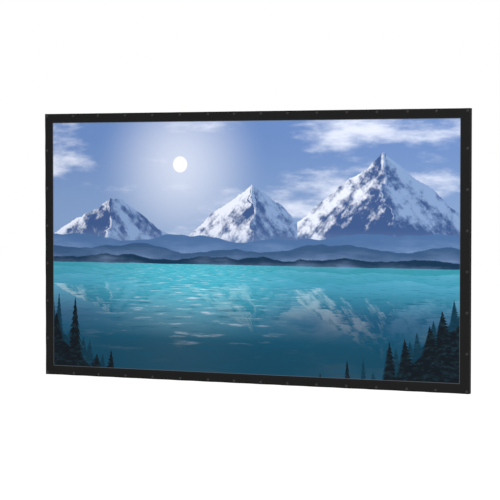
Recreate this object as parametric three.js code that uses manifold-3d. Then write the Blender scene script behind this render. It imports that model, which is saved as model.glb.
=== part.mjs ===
// A fixed frame projector screen with a 16:9 viewing area, 110 inches from corner to corner.
// Units are millimetres. +Z is up, the picture faces -Y, the wall is on the +Y side, and the
// origin is the centre of the whole screen.
//
// A knock-down frame of square aluminium tube carries the screen. Four welded corner units, four
// rails and two stiles meet in ten joints, each held by a sleeve inside the tubes and two screws
// at the back. The screen fabric is a thin matte sheet with a black border welded to its front.
// Snaps along the border's outer edge press on to studs on the front of the tubes and stretch the
// fabric a few millimetres in front of them. Two hook clips hang the frame on two wall clips, and
// two rubber bumpers hold its lower rails off the wall by the same distance.

import * as THREE from "three";
import { mergeVertices } from "three/addons/utils/BufferGeometryUtils.js";
import Module from "manifold-3d";

const wasm = await Module();
wasm.setup();

// Fabric
const VIEW_WIDTH = 2438.4;
const VIEW_HEIGHT = 1371.6;
const BORDER_WIDTH = 50.8;
const BORDER_THICKNESS = 1.0;
const SHEET_THICKNESS = 0.6;
const SHEET_CLEARANCE = 6.5; // from the snaps' sockets to the sheet's edge, behind the border

// Square tube
const TUBE_SIZE = 25.4;
const TUBE_WALL = 1.6;
const TUBE_CORNER_RADIUS = 1.2;
const CORNER_LEG = 264; // length of each leg of a corner unit, on its outer edge
const JOINT_SEAM = 0.3; // the seam that shows between two tubes

// Splice sleeves, inside the tubes
const SLEEVE_WALL = 2.0;
const SLEEVE_LENGTH = 120;

// Snaps: a cap and a socket on the border, a stud on the tube
const CAP_RADIUS = 7.5;
const CAP_RISE = 1.8;
const SOCKET_WALL = 2.1;
const STUD_RADIUS = 3.2;
const STUD_NECK_RADIUS = 2.6;
const STUD_BASE_LIP = 2.2;
const STUD_BASE_THICKNESS = 0.8;
const SNAP_STANDOFF = 4.4; // from the border's back to the tube's front
const RAIL_JOINT_SNAP = 80; // from a joint in a rail to the snap on either side of it
const RAIL_SNAP_PITCH = 172;
const STILE_JOINT_SNAP = 57.4; // from a stile's joint to the snap of the corner unit
const STILE_SNAP_PITCH = 212;

// Screws with pan heads and cross recesses
const SCREW_RADIUS = 2.0;
const SCREW_HEAD_LIP = 2.0;
const SCREW_HEAD_HEIGHT = 2.2;
const SCREW_HEAD_TAPER = 1.1; // from the rim of a head to its flat top
const SCREW_TIP = 2.0; // how far a screw stands out of the last wall that it holds
const RECESS_LENGTH = 4.4;
const RECESS_WIDTH = 1.0;
const RECESS_DEPTH = 1.2;

// Hook clips and wall clips, of folded steel strip
const CLIP_LENGTH = 80;
const CLIP_THICKNESS = 2.5;
const CLIP_SPACING = 1219.2; // between the two clips, three wall stud bays of 16 inches
const CLIP_HOLE_INSET = 15; // from a clip's end to its nearest hole
const CLIP_SCREW_MARGIN = 1.75; // steel above and below the heads of a hook clip's screws
const HOOK_HEIGHT = 10.5;
const WALL_FLANGE_HEIGHT = 34;
const WALL_HOLE_RADIUS = 2.8;

const BUMPER_RADIUS = 10;
const BUMPER_TAPER = 1.5;

// Clearances
const FIT_CLEARANCE = 0.3; // between a piece and the hole, tube or hook that it fits
const CONTACT_GAP = 0.05; // the hairline between two faces that rest on each other
const WELD_DEPTH = 0.4; // how far a fused piece reaches into its carrier

// Fineness of the round pieces
const SNAP_SEGMENTS = 8;
const DOME_STEPS = 3;
const SCREW_SEGMENTS = 8;
const BUMPER_SEGMENTS = 20;
const TUBE_BEND_STEPS = 2;
const SLEEVE_BEND_STEPS = 1;

// The whole screen from the front, and the joints in its frame
const width = VIEW_WIDTH + 2 * BORDER_WIDTH;
const height = VIEW_HEIGHT + 2 * BORDER_WIDTH;
const middleOfTube = TUBE_SIZE / 2;
const jointX = width / 2 - CORNER_LEG;
const jointZ = height / 2 - CORNER_LEG;

// The hooks and the heads of their screws both fit between the frame and the wall.
const hookInner = CLIP_THICKNESS + 2 * FIT_CLEARANCE;
const hookOuter = hookInner + CLIP_THICKNESS;
const clipSeat = CLIP_THICKNESS + CONTACT_GAP;
const wallGap = Math.max(hookOuter, clipSeat + SCREW_HEAD_HEIGHT + FIT_CLEARANCE);

// Places along Y, from the front of the caps to the wall
const depth = CAP_RISE + BORDER_THICKNESS + SNAP_STANDOFF + TUBE_SIZE + wallGap;
const borderFront = -depth / 2 + CAP_RISE;
const tubeFront = borderFront + BORDER_THICKNESS + SNAP_STANDOFF;
const tubeBack = tubeFront + TUBE_SIZE;

const material = {
  picture: new THREE.MeshStandardMaterial({ color: 0x6a8ba4, roughness: 0.85, metalness: 0 }),
  border: new THREE.MeshStandardMaterial({ color: 0x222221, roughness: 0.7, metalness: 0 }),
  tube: new THREE.MeshStandardMaterial({ color: 0x2b2b2b, roughness: 0.5, metalness: 0.2 }),
  sleeve: new THREE.MeshStandardMaterial({ color: 0xb4b6b8, roughness: 0.4, metalness: 0.9 }),
  screw: new THREE.MeshStandardMaterial({ color: 0xa9abad, roughness: 0.3, metalness: 0.9 }),
  clip: new THREE.MeshStandardMaterial({ color: 0x303030, roughness: 0.5, metalness: 0.3 }),
  rubber: new THREE.MeshStandardMaterial({ color: 0x1a1a1a, roughness: 0.9, metalness: 0 }),
};

// Solids that can be joined and cut, and back to a geometry with flat faces

function toSolid(geometry) {
  const bare = new THREE.BufferGeometry();
  bare.setAttribute("position", geometry.getAttribute("position"));
  bare.setIndex(geometry.getIndex());
  const merged = mergeVertices(bare, 1e-3);
  return new wasm.Manifold(
    new wasm.Mesh({
      numProp: 3,
      vertProperties: new Float32Array(merged.attributes.position.array),
      triVerts: new Uint32Array(merged.index.array),
    }),
  );
}

function toGeometry(solid) {
  const { vertProperties, triVerts } = solid.getMesh();
  const indexed = new THREE.BufferGeometry();
  indexed.setAttribute("position", new THREE.BufferAttribute(new Float32Array(vertProperties), 3));
  indexed.setIndex(new THREE.BufferAttribute(new Uint32Array(triVerts), 1));
  const flat = indexed.toNonIndexed();
  flat.computeVertexNormals();
  return flat;
}

function piece(name, solid, finish, x = 0, y = 0, z = 0) {
  const mesh = new THREE.Mesh(toGeometry(solid), finish);
  mesh.name = name;
  mesh.position.set(x, y, z);
  return mesh;
}

// A solid of revolution about the Y axis, from [radius, y] pairs in order of rising y.
function revolve(profile, segments) {
  const points = profile.map(([radius, y]) => new THREE.Vector2(radius, y));
  return toSolid(new THREE.LatheGeometry(points, segments));
}

// A round bar along the Y axis from y = from to y = to.
function bar(radius, from, to, segments) {
  return revolve([[0, from], [radius, from], [radius, to], [0, to]], segments);
}

function block(sizeX, sizeY, sizeZ) {
  return toSolid(new THREE.BoxGeometry(sizeX, sizeY, sizeZ));
}

// The solid joined with, or cut by, a copy of the tool at each of the [x, z] places on it. Both
// are drawn about the point origin, and a place that doesn't lie on the solid is passed over.

function copiesOnSolid(solid, tool, places, origin) {
  const { min, max } = solid.boundingBox();
  return places
    .map(([x, z]) => [x - origin[0], z - origin[1]])
    .filter(([u, w]) => u > min[0] && u < max[0] && w > min[2] && w < max[2])
    .map(([u, w]) => tool.translate(u, 0, w));
}

function addAt(solid, tool, places, origin) {
  return copiesOnSolid(solid, tool, places, origin).reduce((sum, copy) => sum.add(copy), solid);
}

function cutAt(solid, tool, places, origin) {
  return copiesOnSolid(solid, tool, places, origin).reduce((rest, copy) => rest.subtract(copy), solid);
}

// Square tube. A section's points are [inward, back] pairs: inward from the frame's outer edge and
// back from the tube's front face.

function squareLoop(inset, radius, bendSteps) {
  const near = inset + radius;
  const far = TUBE_SIZE - near;
  const centres = [[near, near], [far, near], [far, far], [near, far]];
  return centres.flatMap(([inward, back], quarter) => {
    const bend = [];
    for (let step = 0; step <= bendSteps; step++) {
      const angle = Math.PI * (1 + (quarter + step / bendSteps) / 2);
      bend.push([inward + radius * Math.cos(angle), back + radius * Math.sin(angle)]);
    }
    return bend;
  });
}

// A hollow bar swept through stations, which run anticlockwise round the frame as seen from the
// front. Each station has the outer edge's point [x, z] and the inward direction [x, z] there.
function hollowSweep(outerLoop, innerLoop, stations) {
  const count = outerLoop.length;
  const positions = [];
  for (const { edge, inward } of stations) {
    for (const [a, back] of [...outerLoop, ...innerLoop]) {
      positions.push(edge[0] + a * inward[0], back, edge[1] + a * inward[1]);
    }
  }
  const index = [];
  const quad = (a, b, c, d) => index.push(a, b, c, a, c, d);
  const last = (stations.length - 1) * 2 * count;
  for (let k = 0; k < count; k++) {
    const next = (k + 1) % count;
    for (let s = 0; s < last; s += 2 * count) {
      const t = s + 2 * count;
      quad(s + k, t + k, t + next, s + next);
      quad(s + count + k, s + count + next, t + count + next, t + count + k);
    }
    quad(k, next, count + next, count + k);
    quad(last + k, last + count + k, last + count + next, last + next);
  }
  const geometry = new THREE.BufferGeometry();
  geometry.setAttribute("position", new THREE.Float32BufferAttribute(positions, 3));
  geometry.setIndex(index);
  return toSolid(geometry);
}

const sleeveInset = TUBE_WALL + FIT_CLEARANCE;
const tubeSection = {
  outer: squareLoop(0, TUBE_CORNER_RADIUS, TUBE_BEND_STEPS),
  inner: squareLoop(TUBE_WALL, TUBE_CORNER_RADIUS / 2, TUBE_BEND_STEPS),
};
const sleeveSection = {
  outer: squareLoop(sleeveInset, TUBE_CORNER_RADIUS, SLEEVE_BEND_STEPS),
  inner: squareLoop(sleeveInset + SLEEVE_WALL, TUBE_CORNER_RADIUS / 2, SLEEVE_BEND_STEPS),
};

// The four sides, each with the direction of its run and its inward direction, as [x, z].
const side = {
  bottom: { run: [1, 0], inward: [0, 1] },
  right: { run: [0, 1], inward: [-1, 0] },
  top: { run: [-1, 0], inward: [0, -1] },
  left: { run: [0, -1], inward: [1, 0] },
};

// A point that lies s along a side's run from start, and a inward of it.
function along(start, { run, inward }, s, a = 0) {
  return [start[0] + s * run[0] + a * inward[0], start[1] + s * run[1] + a * inward[1]];
}

// Snaps

// The stud on a tube: a round base, a neck and a bead. It points to the front, towards -Y.
const studReach = SNAP_STANDOFF - 3 * FIT_CLEARANCE;
const studBaseRadius = STUD_RADIUS + STUD_BASE_LIP;
const stud = revolve(
  [
    [0, -studReach],
    [STUD_RADIUS, -studReach],
    [STUD_NECK_RADIUS, -STUD_BASE_THICKNESS],
    [studBaseRadius, -STUD_BASE_THICKNESS],
    [studBaseRadius, WELD_DEPTH],
    [0, WELD_DEPTH],
  ],
  SNAP_SEGMENTS,
);

// The socket behind the border, a cup that is open to the tube and takes the stud's bead.
const socketBore = STUD_RADIUS + FIT_CLEARANCE;
const socketRadius = socketBore + SOCKET_WALL;
const socketFloor = SNAP_STANDOFF - studReach - FIT_CLEARANCE;
const socketReach = SNAP_STANDOFF - STUD_BASE_THICKNESS - FIT_CLEARANCE;
const socket = bar(socketRadius, -WELD_DEPTH, socketReach, SNAP_SEGMENTS).subtract(
  bar(socketBore, socketFloor, socketReach + WELD_DEPTH, SNAP_SEGMENTS),
);

// The cap on the border's front, a low dome.
const domeProfile = Array.from({ length: DOME_STEPS + 1 }, (_, step) => {
  const angle = (Math.PI / 2) * (step / DOME_STEPS);
  return [CAP_RADIUS * Math.sin(angle), -CAP_RISE * Math.cos(angle)];
});
const cap = revolve([...domeProfile, [CAP_RADIUS, WELD_DEPTH], [0, WELD_DEPTH]], SNAP_SEGMENTS);
const capAndSocket = cap.add(socket.translate(0, BORDER_THICKNESS, 0));

// Places of the snaps that stand in from the corners, from the middle of a side outwards.

function railSnapMarks() {
  const inRail = [];
  const nearest = RAIL_JOINT_SNAP + RAIL_SNAP_PITCH / 2;
  for (let at = jointX - RAIL_JOINT_SNAP; at > nearest; at -= RAIL_SNAP_PITCH) inRail.unshift(at);
  return [RAIL_JOINT_SNAP, ...inRail, jointX + RAIL_JOINT_SNAP];
}

function stileSnapMarks() {
  const marks = [];
  const furthest = jointZ - STILE_JOINT_SNAP;
  for (let at = STILE_SNAP_PITCH / 2; at < furthest; at += STILE_SNAP_PITCH) marks.push(at);
  return [...marks, jointZ + STILE_JOINT_SNAP];
}

const bothWays = (marks) => marks.flatMap((at) => [-at, at]);
const cornerSnapX = width / 2 - middleOfTube;
const cornerSnapZ = height / 2 - middleOfTube;
const snapPlaces = [
  ...bothWays([...railSnapMarks(), cornerSnapX]).flatMap((x) => [[x, -cornerSnapZ], [x, cornerSnapZ]]),
  ...bothWays(stileSnapMarks()).flatMap((z) => [[-cornerSnapX, z], [cornerSnapX, z]]),
];

// Screws. The head rests on the plane y = 0 and the shank points to the front, towards -Y.

const screwHeadRadius = SCREW_RADIUS + SCREW_HEAD_LIP;
const screwHoleRadius = SCREW_RADIUS + FIT_CLEARANCE;

function screw(grip) {
  const turned = revolve(
    [
      [0, -grip - SCREW_TIP],
      [SCREW_RADIUS, -grip - SCREW_TIP],
      [SCREW_RADIUS, 0],
      [screwHeadRadius, 0],
      [screwHeadRadius - SCREW_HEAD_TAPER, SCREW_HEAD_HEIGHT],
      [0, SCREW_HEAD_HEIGHT],
    ],
    SCREW_SEGMENTS,
  );
  const slot = block(RECESS_LENGTH, 2 * RECESS_DEPTH, RECESS_WIDTH);
  const crossSlot = block(RECESS_WIDTH, 2 * RECESS_DEPTH, RECESS_LENGTH);
  return turned.subtract(slot.add(crossSlot).translate(0, SCREW_HEAD_HEIGHT, 0));
}

// A drill for one wall of a tube or sleeve, whose back face is at y = back.
function wallDrill(back, wall) {
  return bar(screwHoleRadius, back - wall - FIT_CLEARANCE, back + FIT_CLEARANCE, SCREW_SEGMENTS);
}

// Places where the frame comes apart and where it hangs

// Each joint: the outer edge's point where two tubes meet, and the side that it is on.
const joints = {
  bottom_left: { at: [-jointX, -height / 2], on: side.bottom },
  bottom_middle: { at: [0, -height / 2], on: side.bottom },
  bottom_right: { at: [jointX, -height / 2], on: side.bottom },
  right_lower: { at: [width / 2, -jointZ], on: side.right },
  right_upper: { at: [width / 2, jointZ], on: side.right },
  top_right: { at: [jointX, height / 2], on: side.top },
  top_middle: { at: [0, height / 2], on: side.top },
  top_left: { at: [-jointX, height / 2], on: side.top },
  left_upper: { at: [-width / 2, jointZ], on: side.left },
  left_lower: { at: [-width / 2, -jointZ], on: side.left },
};

// The two screws of a joint, each halfway between the joint and the sleeve's end.
function jointScrews({ at, on }) {
  return [-1, 1].map((way) => along(at, on, (way * SLEEVE_LENGTH) / 4, middleOfTube));
}

const clipPlaces = { left: -CLIP_SPACING / 2, right: CLIP_SPACING / 2 };
const clipHoleX = CLIP_LENGTH / 2 - CLIP_HOLE_INSET;
const clipFlangeHeight = 2 * (screwHeadRadius + CLIP_SCREW_MARGIN);
const clipTop = height / 2 - TUBE_CORNER_RADIUS - CONTACT_GAP;
const clipScrewZ = clipTop - clipFlangeHeight / 2;

function holesInClip(x, z) {
  return [-clipHoleX, clipHoleX].map((u) => [x + u, z]);
}

const screwPlaces = [
  ...Object.values(joints).flatMap(jointScrews),
  ...Object.values(clipPlaces).flatMap((x) => holesInClip(x, clipScrewZ)),
];

// Frame, drawn from the tubes' front face backwards

// One tube of the frame, with the studs that stand on it and the screw holes in its back. The
// mesh's own origin is on the frame's outer edge, where the tube's run begins.
function frameTube(name, stations) {
  const start = stations[0].edge;
  const local = stations.map(({ edge, inward }) => ({
    edge: [edge[0] - start[0], edge[1] - start[1]],
    inward,
  }));
  const bare = hollowSweep(tubeSection.outer, tubeSection.inner, local);
  const studded = addAt(bare, stud, snapPlaces, start);
  const drilled = cutAt(studded, wallDrill(TUBE_SIZE, TUBE_WALL), screwPlaces, start);
  return piece(name, drilled, material.tube, start[0], 0, start[1]);
}

const halfSeam = JOINT_SEAM / 2;

// Two legs that are mitred and welded at the corner.
function cornerUnit(name, corner, before, after) {
  const leg = CORNER_LEG - halfSeam;
  return frameTube(name, [
    { edge: along(corner, before, -leg), inward: before.inward },
    { edge: corner, inward: [before.inward[0] + after.inward[0], before.inward[1] + after.inward[1]] },
    { edge: along(corner, after, leg), inward: after.inward },
  ]);
}

// A straight tube from one joint to the next one of the same side.
function straightTube(name, from, to) {
  return frameTube(name, [
    { edge: along(from.at, from.on, halfSeam), inward: from.on.inward },
    { edge: along(to.at, to.on, -halfSeam), inward: to.on.inward },
  ]);
}

const tubes = [
  cornerUnit("corner_unit_bottom_left", [-width / 2, -height / 2], side.left, side.bottom),
  straightTube("bottom_rail_left", joints.bottom_left, joints.bottom_middle),
  straightTube("bottom_rail_right", joints.bottom_middle, joints.bottom_right),
  cornerUnit("corner_unit_bottom_right", [width / 2, -height / 2], side.bottom, side.right),
  straightTube("right_stile", joints.right_lower, joints.right_upper),
  cornerUnit("corner_unit_top_right", [width / 2, height / 2], side.right, side.top),
  straightTube("top_rail_right", joints.top_right, joints.top_middle),
  straightTube("top_rail_left", joints.top_middle, joints.top_left),
  cornerUnit("corner_unit_top_left", [-width / 2, height / 2], side.top, side.left),
  straightTube("left_stile", joints.left_upper, joints.left_lower),
];

// A sleeve bridges a joint inside the two tubes, with a hole for each of its screws.
function sleeve([name, { at, on }]) {
  const bare = hollowSweep(sleeveSection.outer, sleeveSection.inner, [
    { edge: along([0, 0], on, -SLEEVE_LENGTH / 2), inward: on.inward },
    { edge: along([0, 0], on, SLEEVE_LENGTH / 2), inward: on.inward },
  ]);
  const drill = wallDrill(TUBE_SIZE - sleeveInset, SLEEVE_WALL);
  const drilled = cutAt(bare, drill, jointScrews({ at, on }), at);
  return piece("splice_sleeve_" + name, drilled, material.sleeve, at[0], 0, at[1]);
}

const spliceScrew = screw(TUBE_WALL + FIT_CLEARANCE + SLEEVE_WALL);

function spliceScrews([name, joint]) {
  return jointScrews(joint).map(([x, z], k) =>
    piece(`splice_screw_${name}_${k + 1}`, spliceScrew, material.screw, x, TUBE_SIZE + CONTACT_GAP, z),
  );
}

const frame = new THREE.Group();
frame.position.y = tubeFront;
frame.add(...tubes, ...Object.entries(joints).map(sleeve));
frame.add(...Object.entries(joints).flatMap(spliceScrews));

// Fabric, drawn from the border's front face backwards

// A strip of the border with the snaps that lie on it.
function borderStrip(name, stripWidth, stripHeight, x, z) {
  const strip = block(stripWidth, BORDER_THICKNESS, stripHeight).translate(0, BORDER_THICKNESS / 2, 0);
  return piece(name, addAt(strip, capAndSocket, snapPlaces, [x, z]), material.border, x, 0, z);
}

const railStripZ = (height - BORDER_WIDTH) / 2;
const stileStripX = (width - BORDER_WIDTH) / 2;
const stileStripHeight = VIEW_HEIGHT - 2 * CONTACT_GAP;

const sheetInset = middleOfTube + socketRadius + SHEET_CLEARANCE;
const sheet = block(width - 2 * sheetInset, SHEET_THICKNESS, height - 2 * sheetInset);
const sheetMiddle = BORDER_THICKNESS + CONTACT_GAP + SHEET_THICKNESS / 2;

const fabric = new THREE.Group();
fabric.position.y = borderFront;
fabric.add(
  piece("viewing_surface", sheet, material.picture, 0, sheetMiddle, 0),
  borderStrip("border_top", width, BORDER_WIDTH, 0, railStripZ),
  borderStrip("border_bottom", width, BORDER_WIDTH, 0, -railStripZ),
  borderStrip("border_left", BORDER_WIDTH, stileStripHeight, -stileStripX, 0),
  borderStrip("border_right", BORDER_WIDTH, stileStripHeight, stileStripX, 0),
);

// Hanging hardware, drawn from the tubes' back face backwards

// A folded strip with a section of [y, z] pairs, cut to the clips' length about x = 0.
function foldedStrip(section) {
  const shape = new THREE.Shape(section.map(([y, z]) => new THREE.Vector2(y, z)));
  const strip = new THREE.ExtrudeGeometry(shape, { depth: CLIP_LENGTH, bevelEnabled: false });
  strip.translate(0, 0, -CLIP_LENGTH / 2);
  const toPlace = new THREE.Matrix4().makeBasis(
    new THREE.Vector3(0, 1, 0),
    new THREE.Vector3(0, 0, 1),
    new THREE.Vector3(1, 0, 0),
  );
  return toSolid(strip.applyMatrix4(toPlace));
}

function clipDrill(radius) {
  return bar(radius, -FIT_CLEARANCE, wallGap + FIT_CLEARANCE, SCREW_SEGMENTS);
}

const hookStepTop = clipTop - clipFlangeHeight;
const hookStepBottom = hookStepTop - CLIP_THICKNESS;
const hookTip = hookStepTop - HOOK_HEIGHT;
const hookClip = cutAt(
  foldedStrip([
    [CONTACT_GAP, hookStepBottom],
    [hookInner, hookStepBottom],
    [hookInner, hookTip],
    [hookOuter, hookTip],
    [hookOuter, hookStepTop],
    [CLIP_THICKNESS, hookStepTop],
    [CLIP_THICKNESS, clipTop],
    [CONTACT_GAP, clipTop],
  ]),
  clipDrill(screwHoleRadius),
  holesInClip(0, clipScrewZ),
  [0, 0],
);

const wallStepTop = hookTip - FIT_CLEARANCE;
const wallStepBottom = wallStepTop - CLIP_THICKNESS;
const wallFlangeFront = wallGap - CLIP_THICKNESS;
const wallFlangeBottom = wallStepBottom - WALL_FLANGE_HEIGHT;
const wallLipTop = hookStepBottom - CONTACT_GAP;
const wallClip = cutAt(
  foldedStrip([
    [FIT_CLEARANCE, wallStepBottom],
    [wallFlangeFront, wallStepBottom],
    [wallFlangeFront, wallFlangeBottom],
    [wallGap, wallFlangeBottom],
    [wallGap, wallStepTop],
    [FIT_CLEARANCE + CLIP_THICKNESS, wallStepTop],
    [FIT_CLEARANCE + CLIP_THICKNESS, wallLipTop],
    [FIT_CLEARANCE, wallLipTop],
  ]),
  clipDrill(WALL_HOLE_RADIUS),
  holesInClip(0, (wallStepBottom + wallFlangeBottom) / 2),
  [0, 0],
);

const bumper = revolve(
  [
    [0, CONTACT_GAP],
    [BUMPER_RADIUS, CONTACT_GAP],
    [BUMPER_RADIUS - BUMPER_TAPER, wallGap],
    [0, wallGap],
  ],
  BUMPER_SEGMENTS,
);

const clipScrew = screw(CLIP_THICKNESS + TUBE_WALL);

const hangers = new THREE.Group();
hangers.position.y = tubeBack;
for (const [name, x] of Object.entries(clipPlaces)) {
  hangers.add(
    piece("hook_clip_" + name, hookClip, material.clip, x),
    piece("wall_clip_" + name, wallClip, material.clip, x),
    piece("bumper_" + name, bumper, material.rubber, x, 0, middleOfTube - height / 2),
  );
  holesInClip(x, clipScrewZ).forEach(([screwX, screwZ], k) => {
    hangers.add(piece(`clip_screw_${name}_${k + 1}`, clipScrew, material.screw, screwX, clipSeat, screwZ));
  });
}

const projectorScreen = new THREE.Group();
projectorScreen.name = "projector_screen";
projectorScreen.add(fabric, frame, hangers);

export default projectorScreen;
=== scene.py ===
"""The looks of a fixed frame projector screen, built round its CAD frame.

Lengths are in metres. +X runs to the right along the screen, +Y from the picture towards the wall
and +Z up, and the origin is the centre of the whole screen. Places are worked out from the frame's
own parts, and the sizes and colours that a user would change are properties of the scene.
"""

import math

import bmesh
import bpy
from bpy.props import FloatProperty, FloatVectorProperty, PointerProperty
from mathutils import Matrix, Vector


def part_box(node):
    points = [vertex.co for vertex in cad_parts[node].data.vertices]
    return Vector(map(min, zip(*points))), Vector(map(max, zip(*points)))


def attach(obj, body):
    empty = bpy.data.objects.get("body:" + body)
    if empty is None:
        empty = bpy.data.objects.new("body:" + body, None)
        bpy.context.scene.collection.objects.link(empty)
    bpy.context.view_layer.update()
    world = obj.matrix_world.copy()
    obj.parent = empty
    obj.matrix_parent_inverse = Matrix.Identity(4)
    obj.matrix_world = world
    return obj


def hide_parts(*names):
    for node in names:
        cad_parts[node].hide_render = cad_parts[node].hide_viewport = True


bl_info = {
    "name": "Fixed Frame Projector Screen",
    "version": (1, 0, 0),
    "blender": (4, 5, 0),
    "location": "View3D > Sidebar > Projector Screen",
    "description": "Gives a framed projector screen its fabric, snaps, hardware and studio",
    "category": "Object",
}

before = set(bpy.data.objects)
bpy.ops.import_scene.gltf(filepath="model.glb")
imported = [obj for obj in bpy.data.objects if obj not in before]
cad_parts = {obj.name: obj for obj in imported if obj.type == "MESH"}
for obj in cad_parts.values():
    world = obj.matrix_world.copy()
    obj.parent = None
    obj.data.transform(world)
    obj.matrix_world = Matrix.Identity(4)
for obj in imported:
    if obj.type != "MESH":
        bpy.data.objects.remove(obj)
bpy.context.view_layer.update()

MM = 0.001
# Places closer than this count as the same.
NEAR = 0.01 * MM
BLACK = (0, 0, 0)
GREY = (0.5, 0.5, 0.5)
WHITE = (1, 1, 1)
NICKEL_POLISH = {"Streak": 3, "Smoothest": 0.22, "Roughest": 0.4}
BORDERS = ("border_top", "border_bottom", "border_left", "border_right")
SIDES = ("left", "right")


def nodes_starting(*starts):
    return sorted(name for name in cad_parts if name.startswith(starts))


TUBES = nodes_starting("corner_unit", "bottom_rail", "top_rail", "left_stile", "right_stile")
SLEEVES = nodes_starting("splice_sleeve")


# Settings

def linear(red, green, blue):
    """A colour of three 8-bit display values, as the linear values that shaders take."""
    def channel(value):
        value /= 255
        return value / 12.92 if value <= 0.04045 else ((value + 0.055) / 1.055) ** 2.4
    return (channel(red), channel(green), channel(blue))


def colour(name, description, value):
    return FloatVectorProperty(
        name=name, description=description, default=linear(*value), subtype="COLOR", min=0, max=1
    )


def length(name, description, millimetres):
    return FloatProperty(
        name=name, description=description, default=millimetres * MM, unit="LENGTH", precision=5
    )


def angle(name, description, degrees):
    return FloatProperty(
        name=name, description=description, default=math.radians(degrees), subtype="ANGLE"
    )


def place(name, description, metres):
    return FloatVectorProperty(
        name=name, description=description, default=metres, subtype="TRANSLATION", unit="LENGTH"
    )


def number(name, description, value):
    return FloatProperty(name=name, description=description, default=value, min=0)


class StageSettings(bpy.types.PropertyGroup):
    """The camera, the floor and the light."""
    camera_place: place("Camera place", "Where the camera stands", (5.0208, -10.3723, 0.4028))
    camera_heading: angle("Camera heading", "How far it turns left from facing the screen", 25.794)
    camera_tilt: angle("Camera tilt", "How far the camera looks down from level", 2.066)
    lens: number("Lens", "Focal length in millimetres on a 36 mm sensor", 153.48)
    hanging_height: length("Hanging height", "From the floor to the screen's lower edge", 1200)
    room_light: number("Room light", "Strength of the even light from all round", 0.78)
    soft_box_power: number("Soft box power", "Power of the large soft lamp in watts", 260)
    soft_box_place: place("Soft box place", "Where the large soft lamp stands", (3.2, -5.5, 3.4))
    card_place: place("Black card place", "Where the black card stands", (4.4, 4.2, 0))
    card_turn: angle("Black card turn", "How far it turns left from lying along the screen", -40)


class PictureSettings(bpy.types.PropertyGroup):
    """The projected picture, a made-up mountain lake in blues."""
    margin: length("Bare margin", "Width of unlit screen between the picture and the border", 3.2)
    bare: colour("Bare screen", "The unlit screen in the margin", (88, 93, 98))
    zenith: colour("Upper sky", "The sky at the picture's top edge", (100, 131, 184))
    haze: colour("Haze", "The sky near the mountains, and the mist at their feet", (126, 152, 192))
    cloud: colour("Cloud", "Cloud and the brightest snow", (224, 229, 243))
    rock: colour("Rock", "Bare rock and the snow's shadow side", (58, 84, 132))
    far_range: colour("Far range", "Crest of the furthest wooded range", (72, 106, 152))
    near_range: colour("Near range", "Crest of the nearest wooded range", (16, 48, 76))
    glow: colour("Glow", "The lake where it is brightest", (72, 186, 206))
    deep: colour("Deep water", "The lake between the shore and the foreground", (10, 78, 106))
    night: colour("Night", "The lake's near edge", (8, 64, 86))
    pine: colour("Pines", "The trees and bank in the foreground", (8, 17, 25))


class FabricSettings(bpy.types.PropertyGroup):
    """The black border and the back of the screen fabric."""
    border_thickness: length("Border thickness", "Thickness of the border fabric", 1.0)
    sheet_thickness: length("Sheet thickness", "Thickness of the viewing surface", 0.6)
    scallop: length("Scallop", "How far the outer edge draws in between two snaps", 0.7)
    bow: length("Bow", "How far the outer edge bows back between two snaps", 0.35)
    relaxed: length("Relaxed width", "How far in from the outer edge the fabric gives", 24)
    seam_start: length("Seam start", "How far from the picture the welded seam starts", 1.2)
    seam_end: length("Seam end", "How far from the picture the welded seam starts to rise again", 9)
    seam_slope: length("Seam slope", "Width of the slope on either side of the seam", 0.7)
    seam_depth: length("Seam depth", "How deep the welded seam is pressed in", 0.15)
    knurl_pitch: length("Knurl pitch", "From one ridge of the seam's knurl to the next", 2.2)
    weave_pitch: length("Weave pitch", "From one thread to the next of the backing cloth", 0.9)
    border: colour("Border", "The black coated fabric", (23, 23, 23))
    backing: colour("Backing", "The light-stop backing of the sheet", (38, 39, 41))


class HardwareSettings(bpy.types.PropertyGroup):
    """The snaps, tubes, clips, screws and bumpers."""
    cap_radius: length("Cap radius", "Radius of a snap cap", 7.5)
    cap_rise: length("Cap rise", "How far a cap stands in front of the border", 1.8)
    socket_radius: length("Socket radius", "Outer radius of a snap's socket", 5.6)
    stud_radius: length("Stud radius", "Radius of the stud's bead", 3.2)
    stud_clearance: length("Stud clearance", "Room round the stud in its socket", 0.3)
    clip_thickness: length("Clip thickness", "Thickness of the folded steel of the clips", 2.5)
    clip_hole_inset: length("Clip hole inset", "From a clip's end to its nearest hole", 15)
    wall_hole_radius: length("Wall hole radius", "Radius of the holes for the wall screws", 2.8)
    screw_radius: length("Screw radius", "Outer radius of a screw's thread", 2.0)
    screw_clearance: length("Screw clearance", "Room round a screw in a clip's hole", 0.3)
    screw_head_height: length("Screw head height", "Height of a screw's pan head", 2.2)
    thread_pitch: length("Thread pitch", "From one turn of a screw's thread to the next", 1.2)
    thread_depth: length("Thread depth", "From the thread's crest to its root", 0.35)
    bead_width: length("Bead width", "Width of the weld across each mitre", 4.6)
    bead_rise: length("Bead rise", "How far that weld stands proud", 0.55)
    bead_pitch: length("Bead pitch", "From one ripple of that weld to the next", 1.7)
    enamel: colour("Cap enamel", "The black enamel of the snap caps", (28, 28, 29))
    nickel: colour("Nickel", "The plating of the sockets and studs", (178, 174, 166))
    powder: colour("Powder coat", "The black powder coat of the tubes and clips", (30, 30, 31))
    zinc: colour("Zinc", "The bright zinc plate of the screws", (176, 180, 186))
    aluminium: colour("Aluminium", "The bare aluminium of the splice sleeves", (182, 184, 187))
    rubber: colour("Rubber", "The moulded rubber of the bumpers", (24, 24, 25))


# Shader nodes in short calls

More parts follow.
